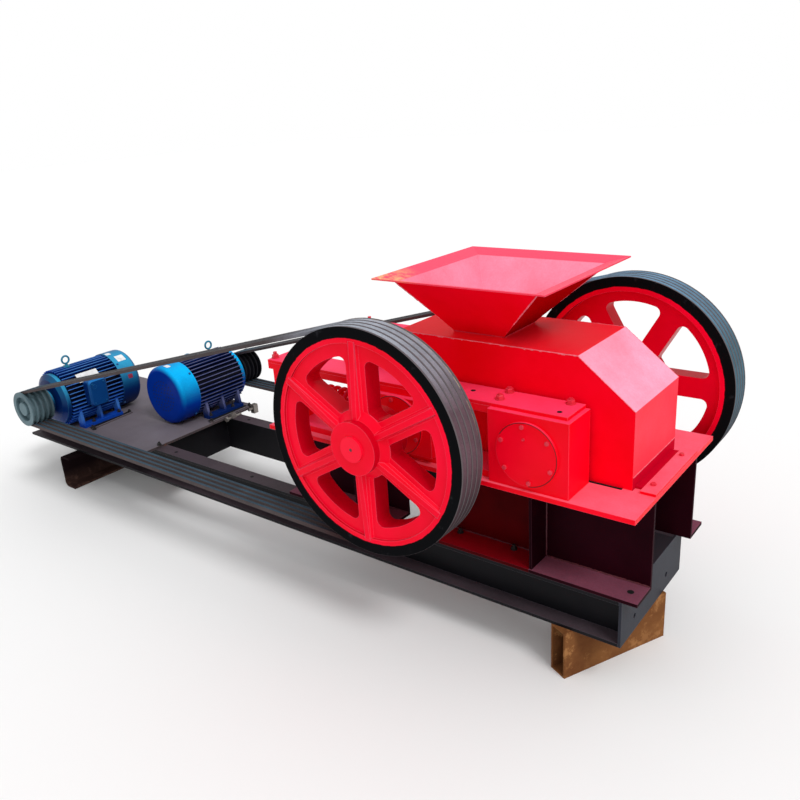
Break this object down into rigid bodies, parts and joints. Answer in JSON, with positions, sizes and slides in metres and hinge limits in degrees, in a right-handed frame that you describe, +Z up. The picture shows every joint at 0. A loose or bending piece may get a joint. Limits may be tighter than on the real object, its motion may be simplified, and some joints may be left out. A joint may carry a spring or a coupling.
{
  "type": "double roll crusher",
  "caption": "Toothed roll crusher with two facing rolls under a hood and feed hopper, each roll belt-driven by its own motor, on one long channel-steel base.",
  "frame": {"origin": "floor level under the centre of the overall length, on the mid-plane of the rolls", "axes": "+Z up, +Y along the roll shafts, +X from the motors towards the rolls"},
  "size_m": [3.046, 0.974, 1.083],
  "materials": {
    "red_paint": "gloss enamel, dusty",
    "stand_paint": "dark maroon enamel",
    "base_paint": "dark grey paint with mauve dust",
    "blue_paint": "blue gloss enamel",
    "cast_grey": "bare machined casting",
    "roll_steel": "worn casting",
    "belt_rubber": "dusty rubber",
    "rusty_steel": "rusty"
  },
  "bodies": {
    "frame": {"end_channel": "base_paint", "far_belts": "belt_rubber", "far_channel": "base_paint", "far_fixed_box": "red_paint", "far_fixed_cover": "red_paint", "far_guide_frame": "red_paint", "far_left_leg": "stand_paint", "far_right_leg": "stand_paint", "far_sliding_box": "red_paint", "far_sliding_cover": "red_paint", "far_spring": "red_paint", "far_top_plate": "red_paint", "hood": "red_paint", "hopper": "red_paint", "left_support": "rusty_steel", "motor1_end_shield": "blue_paint", "motor1_fan_cowl": "blue_paint", "motor1_frame": "blue_paint", "motor1_terminal_box": "blue_paint", "motor2_end_shield": "blue_paint", "motor2_fan_cowl": "blue_paint", "motor2_frame": "blue_paint", "motor2_terminal_box": "blue_paint", "motor_end_channel": "base_paint", "motor_plate": "base_paint", "near_belts": "belt_rubber", "near_channel": "base_paint", "near_fixed_box": "red_paint", "near_fixed_cover": "red_paint", "near_guide_frame": "red_paint", "near_left_leg": "stand_paint", "near_right_leg": "stand_paint", "near_sliding_box": "red_paint", "near_sliding_cover": "red_paint", "near_spring": "red_paint", "near_top_plate": "red_paint", "plate_cross_channel": "base_paint", "right_support": "rusty_steel", "table_plate": "red_paint"},
    "near_rotor": {"near_pulley": "red_paint", "near_roll": "roll_steel"},
    "far_rotor": {"far_pulley": "red_paint", "far_roll": "roll_steel"},
    "motor1_rotor": {"motor1_pulley": "cast_grey"},
    "motor2_rotor": {"motor2_pulley": "cast_grey"}
  },
  "joints": [
    {"name": "near_roll_turn", "type": "hinge", "parent": "frame", "child": "near_rotor", "pos_m": [0.775, 0, 0.671], "axis": [0, 1, 0], "continuous": true},
    {"name": "far_roll_turn", "type": "hinge", "parent": "frame", "child": "far_rotor", "pos_m": [1.193, 0, 0.671], "axis": [0, -1, 0], "continuous": true},
    {"name": "motor1_turn", "type": "hinge", "parent": "frame", "child": "motor1_rotor", "pos_m": [-1.101, 0, 0.428], "axis": [0, 1, 0], "continuous": true},
    {"name": "motor2_turn", "type": "hinge", "parent": "frame", "child": "motor2_rotor", "pos_m": [-0.68, 0, 0.428], "axis": [0, -1, 0], "continuous": true}
  ],
  "couplings": [
    {"joint": "motor1_turn", "follows": "near_roll_turn", "ratio": 4.4595},
    {"joint": "motor2_turn", "follows": "far_roll_turn", "ratio": 4.4595}
  ]
}
